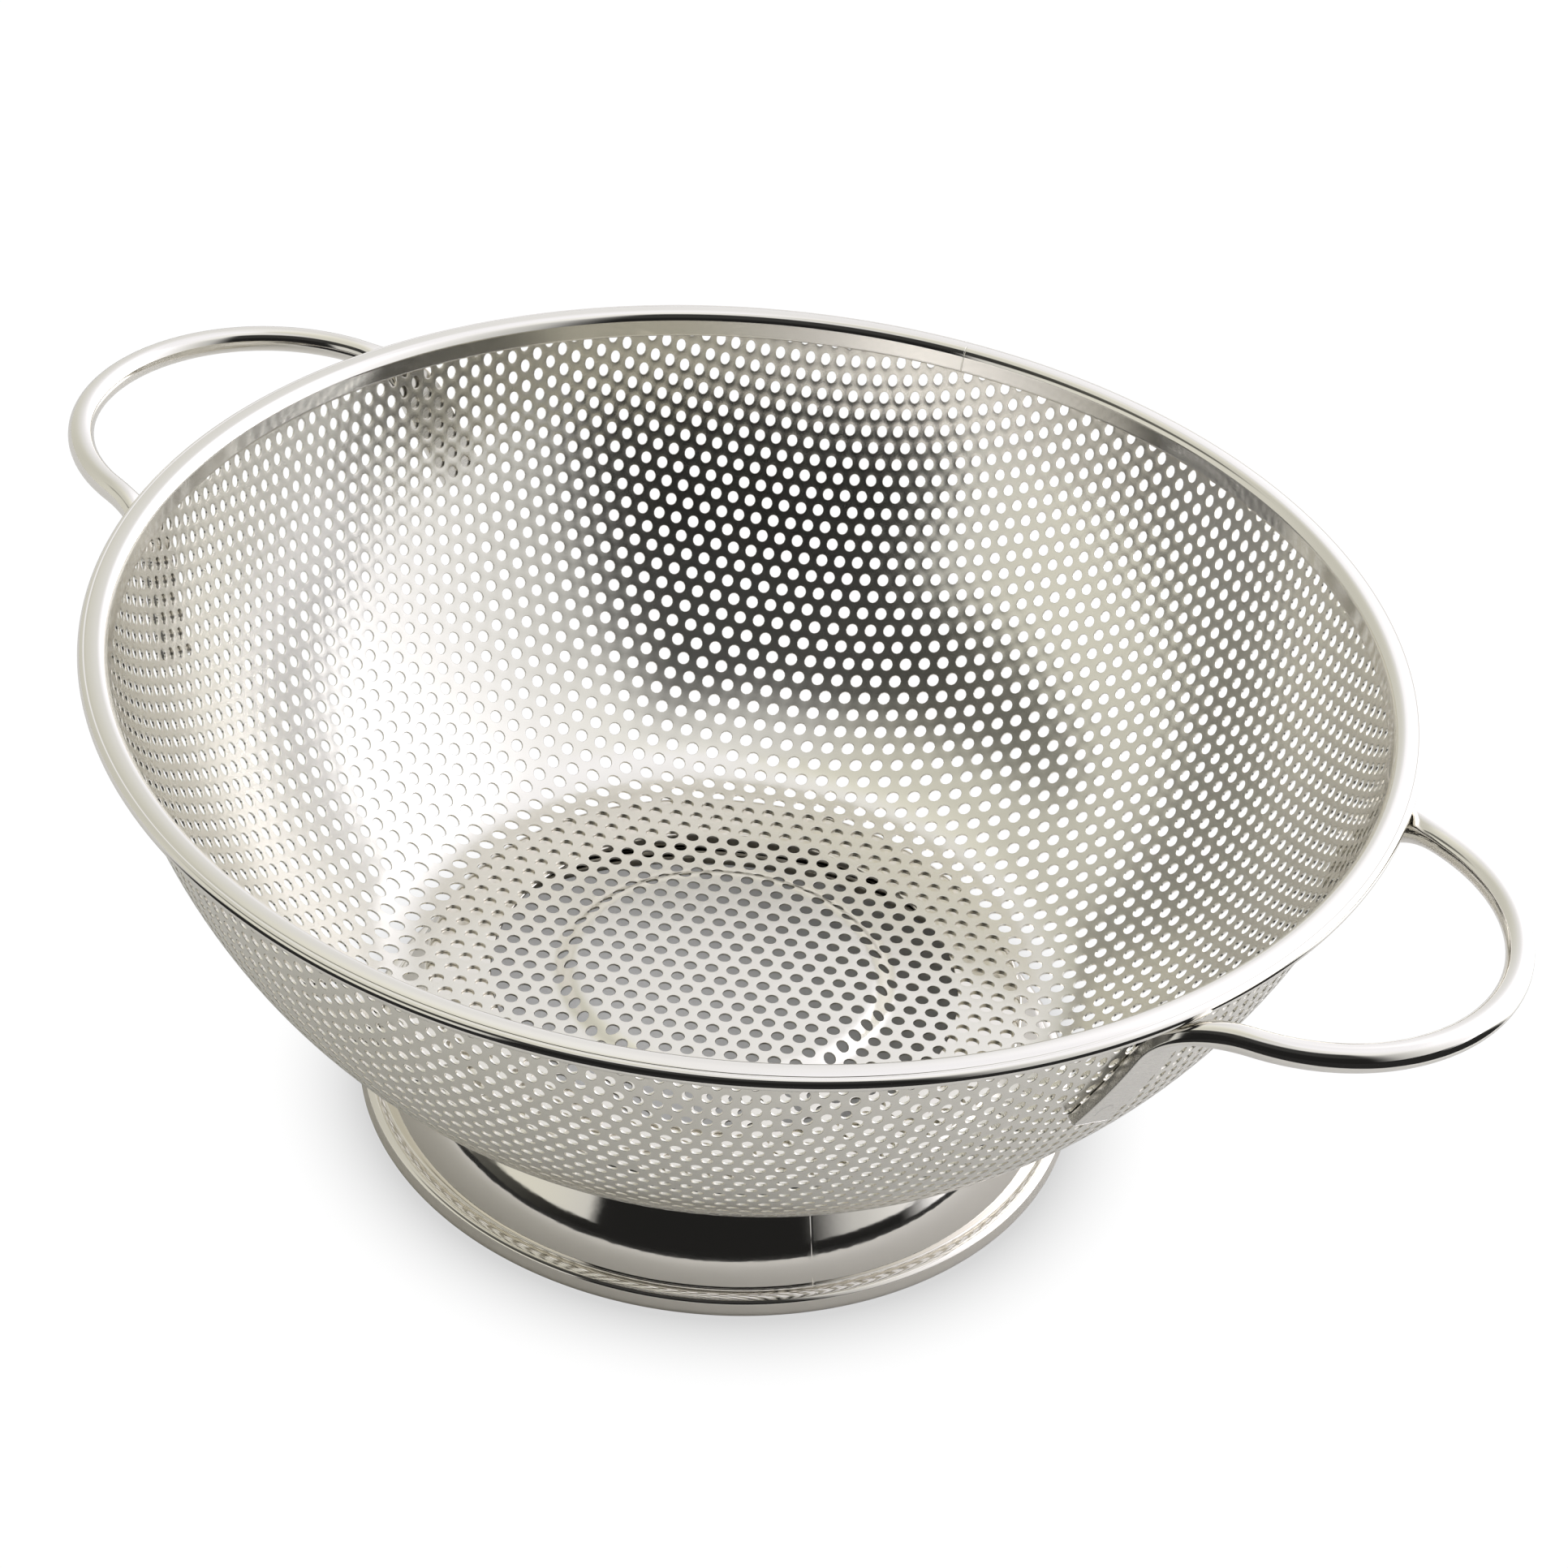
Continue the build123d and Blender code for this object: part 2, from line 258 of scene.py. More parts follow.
def coordinates(tree):
    """Object coordinates in mm as x, y, z, with radius and azimuth about Z in radians."""
    place = add_node(tree, "ShaderNodeTexCoord").outputs["Object"]
    mm = add_node(tree, "ShaderNodeVectorMath", {"operation": "SCALE", "Scale": 1 / MM},
                  {0: place}).outputs[0]
    split = add_node(tree, "ShaderNodeSeparateXYZ", links={0: mm})
    x, y, z = split.outputs
    radius = calc(tree, "SQRT", calc(tree, "ADD", calc(tree, "MULTIPLY", x, x),
                                     calc(tree, "MULTIPLY", y, y)))
    return mm, x, y, z, radius, calc(tree, "ARCTAN2", y, x)


def vector(tree, x, y, z):
    """Vector from three numbers or sockets."""
    node = tree.nodes.new("ShaderNodeCombineXYZ")
    for slot_index, value in enumerate((x, y, z)):
        if isinstance(value, (int, float)):
            node.inputs[slot_index].default_value = value
        else:
            tree.links.new(value, node.inputs[slot_index])
    return node.outputs[0]


def noise(tree, place, per_mm, detail=2.0, roughness=0.5):
    """Noise about 0.5 at a place in mm, with so many waves per mm."""
    return add_node(tree, "ShaderNodeTexNoise", {
        "Scale": per_mm, "Detail": detail, "Roughness": roughness}, {"Vector": place}).outputs[0]


def steel(name, colour):
    """Principled metal with its tree and shader node."""
    material = bpy.data.materials.new(name)
    material.use_nodes = True
    tree = material.node_tree
    shader = tree.nodes["Principled BSDF"]
    shader.inputs["Base Color"].default_value = linear(colour)
    shader.inputs["Metallic"].default_value = 1.0
    return material, tree, shader


def relief(tree, shader, heights):
    """Bumps of (height socket in mm, depth in mm) chained into the shader's normal."""
    below = None
    for height, depth in heights:
        links = {"Height": height}
        if below:
            links["Normal"] = below
        below = add_node(tree, "ShaderNodeBump", {"Strength": 1.0, "Distance": depth * MM},
                         links).outputs[0]
    tree.links.new(below, shader.inputs["Normal"])


def sheet_steel():
    """Satin of drawn sheet: the pull of the press leaves soft orange peel of about 5 mm, and
    a fine matt tooth, drawn coarse enough to show, spreads reflections to a blur."""
    material, tree, shader = steel("satin_drawn_stainless_sheet", "#EBE8DF")
    patch_per_mm, tooth_per_mm, peel_per_mm = 0.06, 2.2, 0.2
    smoothest, by_patches, by_tooth = 0.14, 0.08, 0.04
    peel_deep, tooth_deep = 0.009, 0.0004
    mm = coordinates(tree)[0]
    patches = noise(tree, mm, patch_per_mm, 3.0)
    tooth = noise(tree, mm, tooth_per_mm, 2.0)
    rough = calc(tree, "ADD", calc(tree, "MULTIPLY_ADD", patches, by_patches, smoothest),
                 calc(tree, "MULTIPLY", tooth, by_tooth))
    tree.links.new(rough, shader.inputs["Roughness"])
    relief(tree, shader, [(noise(tree, mm, peel_per_mm, 2.0), peel_deep), (tooth, tooth_deep)])
    return material


def strip_steel():
    """Polished strip: a wheel run round the rim leaves hair lines along it, which streak
    its reflections lengthwise. The joint of its ends is a fine groove across the skirt."""
    material, tree, shader = steel("polished_folded_stainless_strip", "#EDEAE3")
    hair_per_mm, patch_per_mm = 4.0, 0.05
    smoothest, by_patches, by_hair = 0.03, 0.03, 0.05
    patch_deep, hair_deep, joint_deep = 0.04, 0.0006, 0.08
    # a radian of the rim is 147.5 mm, so the hairs run about 50 times as long as wide
    mm_per_radian = 3.0
    mm, _, _, z, radius, azimuth = coordinates(tree)
    along = vector(tree, radius, calc(tree, "MULTIPLY", azimuth, mm_per_radian), z)
    hair = noise(tree, along, hair_per_mm, 3.0, 0.6)
    patches = noise(tree, mm, patch_per_mm, 2.0)
    rough = calc(tree, "ADD", calc(tree, "MULTIPLY", hair, by_hair),
                 calc(tree, "MULTIPLY_ADD", patches, by_patches, smoothest))
    tree.links.new(rough, shader.inputs["Roughness"])
    turn_off = calc(tree, "SUBTRACT", azimuth, RIM_JOINT)
    off_joint = calc(tree, "ABSOLUTE", calc(tree, "MULTIPLY", turn_off, RIM_R))
    on_skirt = fade(tree, radius, 143.5, 142.5)
    joint = calc(tree, "MULTIPLY", fade(tree, off_joint, 0.22, 0.08), on_skirt)
    relief(tree, shader, [(patches, patch_deep), (hair, hair_deep),
                          (calc(tree, "MULTIPLY", joint, -1.0), joint_deep)])
    return material


def foot_steel():
    """Rolled and polished sheet: long shallow waves from rolling make the edges of its
    reflections ragged. The welded seam is a fine upright groove, ground flush."""
    material, tree, shader = steel("polished_rolled_stainless_sheet", "#EBE7DF")
    wave_per_mm, hair_per_mm = 0.085, 5.0
    # the waves are longer round the foot than up it, and the hairs about 30 times as long
    wave_upright, hair_round = 1.6, 0.03
    smoothest, by_hair, by_grinding = 0.04, 0.04, 0.03
    wave_deep, hair_deep, seam_deep = 0.028, 0.0005, 0.06
    _, _, _, z, radius, azimuth = coordinates(tree)
    round_mm = calc(tree, "MULTIPLY", azimuth, FOOT_MEAN_R)
    wave_place = vector(tree, round_mm, calc(tree, "MULTIPLY", z, wave_upright), 0.0)
    waves = noise(tree, wave_place, wave_per_mm, 3.0, 0.6)
    hair_place = vector(tree, calc(tree, "MULTIPLY", round_mm, hair_round), z, radius)
    hair = noise(tree, hair_place, hair_per_mm, 3.0)
    turn_off = calc(tree, "SUBTRACT", round_mm, FOOT_SEAM * FOOT_MEAN_R)
    off_seam = calc(tree, "ABSOLUTE", turn_off)
    over_curl = fade(tree, z, 5.0, 7.0)
    seam = calc(tree, "MULTIPLY", fade(tree, off_seam, 0.35, 0.1), over_curl)
    ground = calc(tree, "MULTIPLY", fade(tree, off_seam, 1.6, 0.8), over_curl)
    rough = calc(tree, "ADD", calc(tree, "MULTIPLY_ADD", hair, by_hair, smoothest),
                 calc(tree, "MULTIPLY", ground, by_grinding))
    tree.links.new(rough, shader.inputs["Roughness"])
    relief(tree, shader, [(waves, wave_deep), (hair, hair_deep),
                          (calc(tree, "MULTIPLY", seam, -1.0), seam_deep)])
    return material


def rod_steel(weld_along):
    """Polished rod with faint drawing lines along it. Its pressed straps keep the brushing
    across them from the press, and the round mark of the welding tip."""
    material, tree, shader = steel("polished_drawn_stainless_rod", "#ECE9E2")
    line_per_mm, brush_per_mm, patch_per_mm = 5.0, 6.0, 0.08
    # lines are 50 times as long as wide, strokes of the brush about 30 times
    line_length, brush_length = 0.02, 0.03
    smoothest, by_lines, by_patches, by_brush = 0.045, 0.04, 0.05, 0.34
    patch_deep, line_deep, brush_deep, mark_deep = 0.05, 0.0006, 0.006, 0.15
    mm = coordinates(tree)[0]
    along, around, pressed = [
        add_node(tree, "ShaderNodeAttribute", {"attribute_name": n}).outputs["Fac"]
        for n in ("along", "around", "pressed")]
    line_place = vector(tree, calc(tree, "MULTIPLY", along, line_length), around, 0.0)
    lines = noise(tree, line_place, line_per_mm, 2.0)
    brush_place = vector(tree, along, calc(tree, "MULTIPLY", around, brush_length), 0.0)
    brushed = noise(tree, brush_place, brush_per_mm, 3.0, 0.7)
    patches = noise(tree, mm, patch_per_mm, 2.0)
    on_strap = calc(tree, "MULTIPLY", brushed, fade(tree, pressed, 0.55, 0.98))
    rough = calc(tree, "ADD", calc(tree, "MULTIPLY_ADD", lines, by_lines, smoothest),
                 calc(tree, "ADD", calc(tree, "MULTIPLY", patches, by_patches),
                      calc(tree, "MULTIPLY", on_strap, by_brush)))
    tree.links.new(rough, shader.inputs["Roughness"])
    ahead = calc(tree, "SUBTRACT", along, weld_along)
    reach = calc(tree, "SQRT", calc(tree, "ADD", calc(tree, "MULTIPLY", around, around),
                                    calc(tree, "MULTIPLY", ahead, ahead)))
    mark = fade(tree, reach, WELD_IN, WELD_OUT, -1.0, 0.0)
    relief(tree, shader, [(patches, patch_deep), (lines, line_deep), (on_strap, brush_deep),
                          (mark, mark_deep)])
    return material


SHEET_STEEL = sheet_steel()


# ---------------------------------------------------------------- bowl
def bowl_profile():
    """The outside of the sheet from the axis to the edge, densely sampled, with normals that
    point out of the bowl and the flat radius of each point: flat radius squared is twice the
    integral of the radius along the line, since drawing keeps area."""
    reach = STEP_BEND * math.sin(math.acos(1 - STEP_RISE / (2 * STEP_BEND)))
    turn = math.degrees(math.asin(reach / STEP_BEND))
    top = BASE_Z + STEP_RISE
    inner, outer = STEP_R - reach, STEP_R + reach
    corner, mouth = math.degrees(CORNER_TURN), math.degrees(MOUTH_TURN)
    bend_x = MOUTH_R + EDGE_BEND * math.sin(MOUTH_TURN)
    bend_z = MOUTH_Z - EDGE_BEND * math.cos(MOUTH_TURN)
    few, more, most, edge_points = 60, 200, 900, 30
    line = joined(
        np.stack([np.linspace(0, inner, few), np.full(few, top)], 1),
        arc(inner, top - STEP_BEND, STEP_BEND, 90, 90 - turn, few),
        arc(outer, BASE_Z + STEP_BEND, STEP_BEND, -90 - turn, -90, few),
        np.stack([np.linspace(outer, FLOOR_R, few), np.full(few, BASE_Z)], 1),
        arc(FLOOR_R, CORNER_Z, CORNER_R, -90, corner - 90, more),
        arc(0, SPHERE_Z, WALL_R, corner - 90, mouth - 90, most),
    )
    mouth_index = len(line) - 1
    edge = arc(bend_x, bend_z, EDGE_BEND, 90 + mouth, 90, edge_points)[1:]
    shelf_x = np.linspace(edge[-1, 0], edge[-1, 0] + EDGE_LENGTH, edge_points)[1:]
    shelf = np.stack([shelf_x, np.full_like(shelf_x, edge[-1, 1])], 1)
    line = np.concatenate([line, edge, shelf])
    step = np.linalg.norm(np.diff(line, axis=0), axis=1)
    mean_r = (line[1:, 0] + line[:-1, 0]) / 2
    flat = np.sqrt(np.r_[0, np.cumsum(2 * mean_r * step)])
    return line, line_normals(line), flat, flat[mouth_index]


PROFILE, PROFILE_OUT, FLAT_R, FLAT_MOUTH = bowl_profile()


def drawn(xy, depth):
    """Point and outward normal for flat blank coordinates, that far below the outside. The
    corner stretches and the mouth gathers more than equal area asks, and the sheet's grain
    adds four lobes: both are smooth shifts that fade out on the flat bottom."""
    rho = np.hypot(xy[:, 0], xy[:, 1])
    turn = np.arctan2(xy[:, 1], xy[:, 0])
    onset = np.clip((rho - SHIFT_FROM) / SHIFT_ONSET, 0, 1)
    onset = onset ** 2 * (3 - 2 * onset)
    x = (np.maximum(rho, SHIFT_LEVEL) - SHIFT_MID) / SHIFT_SPAN
    lobes = [np.cos(turn), np.sin(turn), np.cos(2 * turn), np.sin(2 * turn)]
    outward = np.polyval(OUTWARD, x) + sum(k * a for k, a in zip(OUTWARD_LOBES, lobes))
    sideways = np.polyval(SIDEWAYS, x) + sum(k * a for k, a in zip(SIDEWAYS_LOBES, lobes))
    turn = turn + onset * sideways / np.maximum(rho, 1)
    rho = rho + onset * outward
    room = FLAT_R[-1] - FLAT_MOUTH
    past = np.maximum(rho - FLAT_MOUTH, 0)
    rho = np.where(past > 0, FLAT_MOUTH + room * (1 - np.exp(-past / room)), rho)
    r, z, nr, nz = [np.interp(rho, FLAT_R, a) for a in (*PROFILE.T, *PROFILE_OUT.T)]
    size = np.hypot(nr, nz)
    nr, nz = nr / size, nz / size
    r, z = r - nr * depth, z - nz * depth
    c, s = np.cos(turn), np.sin(turn)
    return np.stack([r * c, r * s, z], 1), np.stack([nr * c, nr * s, nz], 1)


def lattice_cells():
    """Centres of all six-sided cells of the blank that reach below the mouth."""
    reach = int(2 * BLANK_R / PITCH)
    row, column = np.meshgrid(np.arange(-reach, reach + 1), np.arange(-reach, reach + 1))
    row, column = row.ravel(), column.ravel()
    e0 = np.array([math.cos(LATTICE_TURN), math.sin(LATTICE_TURN)])
    e1 = np.array([math.cos(LATTICE_TURN + math.pi / 3), math.sin(LATTICE_TURN + math.pi / 3)])
    xy = PITCH * (column[:, None] * e0 + row[:, None] * e1) + np.array([LATTICE_X, LATTICE_Y])
    keep = np.hypot(xy[:, 0], xy[:, 1]) < BLANK_R
    return np.stack([column, row], 1)[keep], xy[keep]


def bowl_piece(name, cells, xy):
    """Perforated sheet of the given cells. Around each hole lie six rings of points: the
    cell's border and the hole's rounded rim on the outside, the punched wall, and the same
    again on the inside. Borders are shared between neighbours."""
    count, sides = len(cells), HOLE_SIDES
    k = np.arange(sides)
    angle = LATTICE_TURN + k * 2 * math.pi / sides
    border_r = np.where(k % 2 == 0, PITCH / 2, PITCH / math.sqrt(3))
    # border points in sixths of the lattice's two steps, so that shared ones get equal keys
    sixth = np.array([(3, 0), (2, 2), (0, 3), (-2, 4), (-3, 3), (-4, 2),
                      (-3, 0), (-2, -2), (0, -3), (2, -4), (3, -3), (4, -2)])
    keys = (cells[:, None, :] * 6 + sixth[None]).reshape(-1, 2)
    unique, first, inverse = np.unique(keys, axis=0, return_index=True, return_inverse=True)
    inverse = inverse.ravel()
    way = np.stack([np.cos(angle), np.sin(angle)], 1)
    border = (xy[:, None] + (border_r[:, None] * way)[None]).reshape(-1, 2)[first]

    def ring(radius, depth):
        flat = (xy[:, None] + radius * way[None]).reshape(-1, 2)
        return drawn(flat, depth)

    b = PUNCH_ROUNDING
    outer_border, n_ob = drawn(border, 0.0)
    inner_border, n_ib = drawn(border, SHEET)
    p1, n1 = ring(HOLE_R + b, 0.0)
    p2, _ = ring(HOLE_R, b)
    p3, _ = ring(HOLE_R, SHEET - b)
    p4, n4 = ring(HOLE_R + b, SHEET)
    # the punched wall faces the hole's middle
    middle, _ = drawn(xy, SHEET / 2)
    inward = np.repeat(middle, sides, 0) - (p2 + p3) / 2
    inward /= np.linalg.norm(inward, axis=1)[:, None]
    points = np.concatenate([outer_border, p1, p2, p3, p4, inner_border])
    # the pull of the press leaves a soft dimple at each hole, deeper near the rim
    growth = np.clip((np.hypot(*xy.T) - DIMPLE_FROM) / DIMPLE_SPAN, 0, 1)
    dimple = np.repeat(growth * DIMPLE_MORE + DIMPLE, sides)[:, None]
    normals = np.concatenate([n_ob, n1 + dimple / 2 * inward, inward, inward,
                              dimple * inward - n4, -n_ib])
    normals /= np.linalg.norm(normals, axis=1)[:, None]
    size, per = len(unique), count * sides
    start = np.array([0, size, size + per, size + 2 * per, size + 3 * per, size + 4 * per])
    cell = np.arange(per).reshape(count, sides)
    nxt = np.roll(cell, -1, 1)
    border_id = inverse.reshape(count, sides)
    border_next = np.roll(border_id, -1, 1)

    def band(a, a_next, b, b_next):
        return np.stack([a, b, b_next, a_next], 2).reshape(-1, 4)

    quads = [band(start[0] + border_id, start[0] + border_next, start[1] + cell, start[1] + nxt)]
    for lower in (1, 2, 3):
        upper = lower + 1
        quads.append(band(start[lower] + cell, start[lower] + nxt,
                          start[upper] + cell, start[upper] + nxt))
    quads.append(band(start[4] + cell, start[4] + nxt,
                      start[5] + border_id, start[5] + border_next))
    # side faces where the piece ends
    edges = np.stack([border_id.ravel(), border_next.ravel()], 1)
    _, where, times = np.unique(np.sort(edges, 1), axis=0, return_index=True, return_counts=True)
    lone = edges[where[times == 1]]
    low = start[5] + lone
    quads.append(np.stack([lone[:, 0], lone[:, 1], low[:, 1], low[:, 0]], 1))
    return mesh_object(name, points, np.concatenate(quads), normals, node="bowl",
                       slot="perforated_sheet", material=SHEET_STEEL, flat=len(lone))


CELLS, CELL_XY = lattice_cells()
cell_r = np.hypot(*CELL_XY.T)
quarter = np.floor(np.degrees(np.arctan2(CELL_XY[:, 1], CELL_XY[:, 0])) / 90).astype(int) + 2
part_of = np.where(cell_r < FLOOR_CELLS_R, -1, quarter)
for part_index in np.unique(part_of):
    chosen = part_of == part_index
    part_name = "bowl_floor" if part_index < 0 else "bowl_wall_%d" % (part_index + 1)
    bowl_piece(part_name, CELLS[chosen], CELL_XY[chosen])


# ---------------------------------------------------------------- rim band
def sphere_ring(z, radius):
    """Radius at a height of a sphere about the wall's centre."""
    return math.sqrt(radius ** 2 - (SPHERE_Z - z) ** 2)


def rim_line():
    """Outer side of the folded strip: the skirt on the wall's sphere, a cubic curve up to
    the crown, an arc down to the groove, the lip's round nose and the run back under."""
    under = TOP - LIP_HEIGHT
    rise = LIP_HEIGHT - CREASE_DROP
    lip = CREASE_IN + rise - math.sqrt(2 * CREASE_IN * rise)
    skirt_r = WALL_R - SHEET - STRIP - SKIRT_GAP
    skirt_top = TOP - LIP_HEIGHT / 2
    skirt = np.array([(sphere_ring(z, skirt_r), z)
                      for z in np.linspace(skirt_top - SKIRT_DEPTH + STRIP, skirt_top, 12)])
    t = np.linspace(0, 1, 22)[:, None]
    a, d = np.array([sphere_ring(skirt_top, skirt_r), skirt_top]), np.array([RIM_R - CROWN_IN, TOP])
    b, c = a + SKIRT_PULL, d - CROWN_PULL
    crown_in = a * (1 - t) ** 3 + 3 * b * t * (1 - t) ** 2 + 3 * c * t ** 2 * (1 - t) + d * t ** 3
    run = CROWN_IN - CREASE_IN
    curve = (run ** 2 + CREASE_DROP ** 2) / (2 * CREASE_DROP)
    fall = math.degrees(math.asin(run / curve))
    crown_out = arc(RIM_R - CROWN_IN, TOP - curve, curve, 90, 90 - fall, 12)
    crease_r, crease_z = RIM_R - CREASE_IN, TOP - CREASE_DROP
    crown_out = crown_out[crown_out[:, 0] < crease_r - GROOVE]
    groove = np.array([(crease_r - GROOVE, crease_z + GROOVE_EDGE), (crease_r, crease_z - GROOVE)])
    lx, lz = RIM_R - lip, under + lip
    begin = math.degrees(math.atan2(crease_z - lz, crease_r - lx))
    nose = arc(lx, lz, lip, begin - math.degrees(GROOVE / lip), -90, 28)
    end_x = sphere_ring(under + STRIP, WALL_R) + SKIRT_GAP
    below = np.stack([np.linspace(lx, end_x, 8), np.full(8, under)], 1)
    return joined(skirt, crown_in, crown_out, groove, nose, below)


turned("rim_band_folded", sheet_section(rim_line(), STRIP), RIM_STEPS, node="rim_band",
       slot="rim_strip", material=strip_steel())


# ---------------------------------------------------------------- foot ring
def foot_line():
    """Outer side of the foot's sheet: flange, bend, flare, neck and curl."""
    top = BASE_Z - FLANGE_GAP
    b = np.array([FOOT_TOP_R - FOOT_BEND, top - FOOT_BEND])
    c = np.array([FOOT_R - CURL_R, math.sqrt(CURL_R ** 2 - STAND ** 2 / 4)])
    t = math.radians(NECK_TURN)
    n = c + np.array([math.cos(t), math.sin(t)]) * (CURL_R + NECK_R)
    d = n - b
    lean = math.atan2(d[1], d[0]) - math.asin((FOOT_BEND + NECK_R) / np.hypot(*d))
    left = np.array([-math.sin(lean), math.cos(lean)])
    start, end = b + left * FOOT_BEND, n - left * NECK_R
    lean_deg = math.degrees(lean)
    return joined(
        np.stack([np.linspace(FOOT_TOP_R - FLANGE, b[0], 5), np.full(5, top)], 1),
        arc(*b, FOOT_BEND, 90, 90 + lean_deg, 10),
        np.linspace(start, end, 7),
        arc(*n, NECK_R, lean_deg - 90, NECK_TURN - 180, 7),
        arc(*c, CURL_R, NECK_TURN, NECK_TURN - CURL_TURN, 36),
    )


foot_outline = sheet_section(foot_line(), FOOT_SHEET)
foot_outline[:, 1] = np.maximum(foot_outline[:, 1], 0)
turned("foot_ring_rolled", foot_outline, FOOT_STEPS, bow=FOOT_BOW, node="foot_ring",
       slot="foot_sheet", material=foot_steel())


# ---------------------------------------------------------------- handles
def handle_path():
    """Middle line of half a handle, from the loop's far end to the strap's end, with the
    direction across the rod and how flat it is pressed. The loop is an arc, the strap an arc
    on the wall's sphere, and a cubic between them keeps both directions."""
    centre = np.array([REACH - LOOP_R * math.cos(DIP), 0, TOP - DROP])
    ex = np.array([math.cos(DIP), 0, -math.sin(DIP)])
    ey = np.array([0, 1.0, 0])
    t = np.linspace(0, LOOP_TURN, LOOP_POINTS)[:, None]
    loop = centre + LOOP_R * (np.cos(t) * ex + np.sin(t) * ey)
    way = -math.sin(LOOP_TURN) * ex + math.cos(LOOP_TURN) * ey
    hub = np.array([0, 0, SPHERE_Z])
    rs = WALL_R + STRAP_GAP + STRAP_T / 2
    up = MOUTH_TURN - STRAP_START / WALL_R
    turn = math.asin((LOOP_R * math.sin(LOOP_TURN) + STRAP_SPLAY) / (rs * math.sin(up)))
    out = np.array([math.sin(up) * math.cos(turn), math.sin(up) * math.sin(turn), -math.cos(up)])
    rise = np.array([math.cos(up) * math.cos(turn), math.cos(up) * math.sin(turn), math.sin(up)])
    side = np.array([-math.sin(turn), math.cos(turn), 0])
    along = -math.cos(STRAP_SLANT) * rise + math.sin(STRAP_SLANT) * side
    across = np.cross(out, along)
    end = hub + out * rs
    chord = np.linalg.norm(end - loop[-1])
    s = np.linspace(0, 1, BEND_POINTS + 1)[1:, None]
    h00, h10 = 2 * s ** 3 - 3 * s ** 2 + 1, s ** 3 - 2 * s ** 2 + s
    h01, h11 = -2 * s ** 3 + 3 * s ** 2, s ** 3 - s ** 2
    pull = chord * BEND_PULL
    bend = h00 * loop[-1] + h10 * pull * way + h01 * end + h11 * pull * along
    a = np.linspace(0, STRAP_L / rs, STRAP_POINTS + 1)[1:, None]
    strap = hub + rs * (np.cos(a) * out + np.sin(a) * along)
    line = np.concatenate([loop, bend, strap])
    late = np.clip((s.ravel() - PRESS_FROM) / (1 - PRESS_FROM), 0, 1)
    pressed = np.concatenate([np.zeros(LOOP_POINTS), late ** 2 * (3 - 2 * late),
                              np.ones(STRAP_POINTS)])
    return line, across, pressed


def rod_section(width, depth, rounding, count=10):
    """Rounded rectangle as points (across, outwards) and their directions: four arcs of
    equal count, closer where the flat sides begin."""
    share = (1 - np.cos(math.pi * (np.arange(count) + 0.5) / count)) / 2
    points, out = [], []
    for k, (sx, sy) in enumerate(((1, 1), (-1, 1), (-1, -1), (1, -1))):
        t = math.pi / 2 * (k + share)
        way = np.stack([np.cos(t), np.sin(t)], 1)
        points.append([sx * (width / 2 - rounding), sy * (depth / 2 - rounding)] + rounding * way)
        out.append(way)
    return np.concatenate(points), np.concatenate(out)


def handle(name, flip_x, node, material):
    """The rod's section carried along the middle line, from round to flat strap; the second
    half mirrors the first. Attributes give each point its mm along the rod and around it
    from the middle of the outer side, and how flat it is pressed."""
    line, across, pressed = handle_path()
    way = np.gradient(line, axis=0)
    way /= np.linalg.norm(way, axis=1)[:, None]
    side = across - way * (way @ across)[:, None]
    side = side / np.linalg.norm(side, axis=1)[:, None]
    up = np.cross(way, side)
    sections, out = [np.array(a) for a in zip(*[
        rod_section(2 * ROD_R + (STRAP_W - 2 * ROD_R) * q, 2 * ROD_R + (STRAP_T - 2 * ROD_R) * q,
                    (1 - q) * ROD_R + q * STRAP_T * STRAP_ROUNDING) for q in pressed])]
    points = line[:, None] + sections[:, :, :1] * side[:, None] + sections[:, :, 1:] * up[:, None]
    turning = -out[:, :, 1:] * side[:, None] + out[:, :, :1] * up[:, None]
    normals = np.cross(turning, np.gradient(points, axis=0))
    normals /= np.linalg.norm(normals, axis=2)[:, :, None]
    columns = sections.shape[1]
    along = np.r_[0, np.cumsum(np.linalg.norm(np.diff(line, axis=0), axis=1))]
    # the rod's inner side counts on from the outer one, two widths further
    around = sections[:, :, 0] + np.where(sections[:, :, 1] > 0, 0, 2 * STRAP_W)
    mirror, mirrored = points[::-1][:-1].copy(), normals[::-1][:-1].copy()
    mirror[:, :, 1] *= -1
    mirrored[:, :, 1] *= -1
    whole, shading = np.concatenate([mirror, points]), np.concatenate([mirrored, normals])
    quads = grid_quads(len(whole), columns)
    start = np.arange(columns)
    i = np.arange(columns // 2 - 1)
    roll = np.roll(start, 1 - columns // 4)
    caps = [np.stack([base[i], base[i + 1], base[columns - 2 - i], base[columns - 1 - i]], 1)
            for base in (roll, roll + (len(whole) - 1) * columns)]
    quads = np.concatenate([quads, caps[0][:, ::-1], caps[1]])
    if flip_x:
        whole[:, :, 0] *= -1
        shading[:, :, 0] *= -1
    else:
        quads = quads[:, ::-1]
    thing = mesh_object(name, whole.reshape(-1, 3), quads, shading.reshape(-1, 3), node=node,
                        slot="handle_rod", material=material, flat=2 * len(i))
    both = [np.concatenate([a[::-1][:-1], a]) for a in (along, around, pressed)]
    for key, value in zip(("along", "around", "pressed"), both):
        value = value if value.ndim == 2 else np.repeat(value[:, None], columns, 1)
        store = thing.data.attributes.new(key, "FLOAT", "POINT")
        store.data.foreach_set("value", value.astype(np.float32).ravel())


